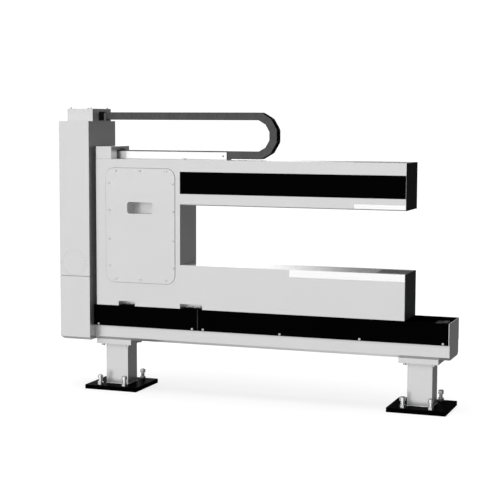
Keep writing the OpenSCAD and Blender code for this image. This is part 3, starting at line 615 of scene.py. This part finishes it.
def build_gap_shade_ring(name, node, face_y, toward):
    """A thin grey ring round an access panel: painted shade of the gap between the panel and
    the frame.
    """
    low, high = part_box(node)
    bm = bmesh.new()
    rows = []
    for share, r, height in GAP_SHADE_ROWS:
        grow = Vector((GAP_SHADE_LIP, 0, GAP_SHADE_LIP)) * share
        outline = rounded_outline(low - grow, high + grow, r)
        rows.append([bm.verts.new((x, face_y + toward * height, z)) for x, z in outline])
    bridge_loops(bm, rows)
    mesh_object(name, bm, [MATERIALS["grey_seal"]], "frame")


def build_gap_shade_rings():
    low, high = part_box("c_frame")
    build_gap_shade_ring("gap_shade_front", "access_panel", low.y, -1)
    build_gap_shade_ring("gap_shade_rear", "rear_panel", high.y, 1)


def thin_box(name, low, high, mat, body):
    """A strip with the corners low and high, its long edges broken by a small chamfer."""
    bm = bmesh.new()
    cut = min(0.0002, (high[2] - low[2]) / 4, (high[0] - low[0]) / 4)
    outline = [(low[0] + cut, low[2]), (high[0] - cut, low[2]), (high[0], low[2] + cut),
               (high[0], high[2] - cut), (high[0] - cut, high[2]), (low[0] + cut, high[2]),
               (low[0], high[2] - cut), (low[0], low[2] + cut)]
    prism(bm, outline, low[1], high[1])
    mesh_object(name, bm, [mat], body)


def build_seam_shade_strips():
    """Thin near-black strips where the bridge legs and the trough stand on the frame's top:
    painted shade of the seam.
    """
    for node in ("cable_bridge", "trough"):
        low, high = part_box(node)
        thin_box(node + "_seal", (low.x + 0.001, low.y - SEAM_SHADE_PROUD, low.z),
                 (high.x - 0.001, low.y + 0.002, low.z + SEAM_SHADE_THICK), MATERIALS["rubber"],
                 "frame")


def build_cover_joint():
    """The grey strip that shows in the gap between the two front cover sheets."""
    left_low, left_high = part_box("panel_front_left")
    right_low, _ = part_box("panel_front_right")
    thin_box("cover_joint_strip", (left_high.x, left_low.y + 0.0004, left_low.z + 0.001),
             (right_low.x, left_high.y - 0.0002, left_high.z - 0.001),
             MATERIALS["frame_steel"], "base")


def seal_outline(low_z, top_z, rail_half, rail_top):
    """An end seal seen along the rail: rounded on top, open round the rail below."""
    notch, roof = rail_half + SEAL_GAP, rail_top + SEAL_GAP
    foot, top = low_z + SEAL_INSET, top_z - SEAL_TOP_INSET
    half, r = SEAL_HALF, SEAL_CORNER
    points = [(-half, foot), (-notch, foot), (-notch, roof), (notch, roof), (notch, foot),
              (half, foot)]
    return points + arc(half - r, top - r, r, 0, 90, 6) + arc(-half + r, top - r, r, 90, 180, 6)


def build_carriage_seals():
    """Moulded end seals with rounded shoulders at both ends of every carriage."""
    low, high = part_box("carriages")
    half = CARRIAGE_LENGTH / 2
    for ix, cx in enumerate((low.x + half, high.x - half)):
        for iy, rail in enumerate(("rail_front", "rail_rear")):
            r_low, r_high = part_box(rail)
            outline = seal_outline(low.z, high.z, (r_high.y - r_low.y) / 2, r_high.z)
            turn = Matrix.Rotation(math.pi / 2, 4, "Z")
            place = Matrix.Translation((0, (r_low.y + r_high.y) / 2, 0)) @ turn
            bm = bmesh.new()
            for end in (-1, 1):
                x_in = cx + end * half
                side_prism(bm, outline, -x_in, -x_in - end * CARRIAGE_SEAL, place)
            mesh_object("carriage_seals_%d%d" % (ix, iy), bm, [MATERIALS["carriage_seal"]],
                        "frame")


# ---------------------------------------------------------------- stage
FLOOR_HALF = 40.0
# direction it shines from, strength, width in degrees, and whether it lights the floor
SUNS = {
    "key": ((-0.34, -0.88, 0.34), 3.05, 50, "EXCLUDE"),
    "overhead": ((-0.10, 0.0, 1.0), 3.0, 12, "EXCLUDE"),
    "rear_fill": ((-0.30, 0.92, 0.12), 2.4, 40, "EXCLUDE"),
    "floor_light": ((-0.15, -0.15, 1.0), 3.14, 80, "INCLUDE"),
}
ROOM, MIRROR, SEEN = 0.14, 1.0, 1.05
# the mirrored walls, place and brightness: 0 and 1 are at -Y, 0.25 at -X, 0.5 at +Y, 0.75 at +X
WALLS = [(0.0, 1.0), (0.14, 1.0), (0.20, 0.25), (0.30, 0.25), (0.36, 1.5), (0.444, 1.8),
         (0.4575, 0.155), (0.88, 0.14), (0.94, 1.0)]
CAMERA_PLACE = (1.9719, -5.5054, 1.2073)
CAMERA_TURN = (19.92, 5.52, 0.20)    # degrees to the left, down, and of roll
CAMERA_LENS = 97.71


def sun(name, toward, strength, angle, state, floor):
    """A soft sun from the direction toward, which lights only the floor or all but it."""
    data = bpy.data.lights.new(name, "SUN")
    data.energy = strength
    data.angle = math.radians(angle)
    obj = bpy.data.objects.new(name, data)
    bpy.context.scene.collection.objects.link(obj)
    obj.rotation_euler = Vector(toward).to_track_quat("Z", "Y").to_euler()
    obj.visible_glossy = False
    group = bpy.data.collections.new(name + "_receivers")
    group.objects.link(floor)
    obj.light_linking.receiver_collection = group
    group.collection_objects[0].light_linking.link_state = state


def floor_material():
    """A lit white sweep: most of its light is its own, so that shadows stay faint."""
    mat, tree, shader = new_material("studio_floor")
    coords = object_coords(tree)
    tone = two_tones(tree, noise(tree, coords, 3.0), (0.33, 0.33, 0.33), (0.35, 0.35, 0.35))
    tree.links.new(tone, shader.inputs["Base Color"])
    shader.inputs["Roughness"].default_value = 0.9
    shader.inputs["Specular IOR Level"].default_value = 0.0
    shader.inputs["Emission Color"].default_value = (1, 1, 1, 1)
    shader.inputs["Emission Strength"].default_value = 0.70
    return mat


def build_floor():
    """A wide flat sweep that the object neither mirrors nor takes light from."""
    bm = bmesh.new()
    corners = ((-1, -1), (1, -1), (1, 1), (-1, 1))
    bm.faces.new([bm.verts.new((x * FLOOR_HALF, y * FLOOR_HALF, 0)) for x, y in corners])
    mesh = bpy.data.meshes.new("floor")
    bm.to_mesh(mesh)
    bm.free()
    obj = bpy.data.objects.new("floor", mesh)
    bpy.context.scene.collection.objects.link(obj)
    mesh.materials.append(floor_material())
    obj.visible_diffuse = False
    obj.visible_glossy = False
    return obj


def build_lights(floor):
    """Diffuse light only: what the glossy surfaces mirror is in build_world."""
    for name, setup in SUNS.items():
        sun(name, *setup, floor)


def ramp_of(tree, value, points):
    ramp = tree.nodes.new("ShaderNodeValToRGB")
    elements = ramp.color_ramp.elements
    while len(elements) > 1:
        elements.remove(elements[-1])
    elements[0].position = points[0][0]
    elements[0].color = (points[0][1],) * 3 + (1,)
    for where, tone in points[1:]:
        elements.new(where).color = (tone,) * 3 + (1,)
    tree.links.new(value, ramp.inputs["Fac"])
    return ramp.outputs["Color"]


def math_node(tree, operation, a, b):
    node = tree.nodes.new("ShaderNodeMath")
    node.operation = operation
    for i, value in enumerate((a, b)):
        if isinstance(value, (int, float)):
            node.inputs[i].default_value = value
        else:
            tree.links.new(value, node.inputs[i])
    return node.outputs["Value"]


def mirrored_room(tree):
    """What gloss mirrors: bright walls in front and back left, and a dimmer ceiling."""
    coord = tree.nodes.new("ShaderNodeTexCoord")
    split = tree.nodes.new("ShaderNodeSeparateXYZ")
    tree.links.new(coord.outputs["Generated"], split.inputs["Vector"])
    turn = math_node(tree, "ARCTAN2", split.outputs["X"], split.outputs["Y"])
    circle = math_node(tree, "ADD", math_node(tree, "DIVIDE", turn, 2 * math.pi), 0.5)
    walls = ramp_of(tree, circle, WALLS)
    return walls, spread(tree, split.outputs["Z"], 1.0, 0.5, 0.25, 0.7)


def build_world():
    """White to the camera, a studio to glossy surfaces, and a dim even room for the rest."""
    world = bpy.data.worlds.new("studio")
    bpy.context.scene.world = world
    world.use_nodes = True
    tree = world.node_tree
    tree.nodes.clear()
    out = tree.nodes.new("ShaderNodeOutputWorld")
    path = tree.nodes.new("ShaderNodeLightPath")
    kinds = []
    for strength in (ROOM, MIRROR, SEEN):
        shade = tree.nodes.new("ShaderNodeBackground")
        shade.inputs["Color"].default_value = (1, 1, 1, 1)
        shade.inputs["Strength"].default_value = strength
        kinds.append(shade)
    room, mirror, seen = kinds
    walls, dimming = mirrored_room(tree)
    tree.links.new(walls, mirror.inputs["Color"])
    tree.links.new(dimming, mirror.inputs["Strength"])
    last = room.outputs["Background"]
    for test, shade in (("Is Glossy Ray", mirror), ("Is Camera Ray", seen)):
        mix = tree.nodes.new("ShaderNodeMixShader")
        tree.links.new(path.outputs[test], mix.inputs["Fac"])
        tree.links.new(last, mix.inputs[1])
        tree.links.new(shade.outputs["Background"], mix.inputs[2])
        last = mix.outputs["Shader"]
    tree.links.new(last, out.inputs["Surface"])


def build_camera():
    """A long lens at eye level with the top of the column, turned to the left."""
    yaw, pitch, roll = (math.radians(a) for a in CAMERA_TURN)
    data = bpy.data.cameras.new("camera")
    data.sensor_width = 36.0
    data.lens = CAMERA_LENS
    data.clip_end = 200
    obj = bpy.data.objects.new("camera", data)
    bpy.context.scene.collection.objects.link(obj)
    ahead = Vector((-math.sin(yaw) * math.cos(pitch), math.cos(yaw) * math.cos(pitch),
                    -math.sin(pitch)))
    right = Vector((math.cos(yaw), math.sin(yaw), 0))
    up = right.cross(ahead)
    side = math.cos(roll) * right + math.sin(roll) * up
    top = -math.sin(roll) * right + math.cos(roll) * up
    basis = Matrix((side, top, -ahead)).transposed().to_4x4()
    obj.matrix_world = Matrix.Translation(CAMERA_PLACE) @ basis
    bpy.context.scene.camera = obj


dress_cad()
build_chain()
build_ball_screw()
build_welds()
# painted shade: a grey ring in the gap round each access panel
build_gap_shade_rings()
# painted shade: dark strips in the seams under the bridge legs and the trough
build_seam_shade_strips()
build_cover_joint()
build_carriage_seals()
build_lights(build_floor())
build_world()
build_camera()
bpy.context.scene.view_settings.view_transform = "Standard"
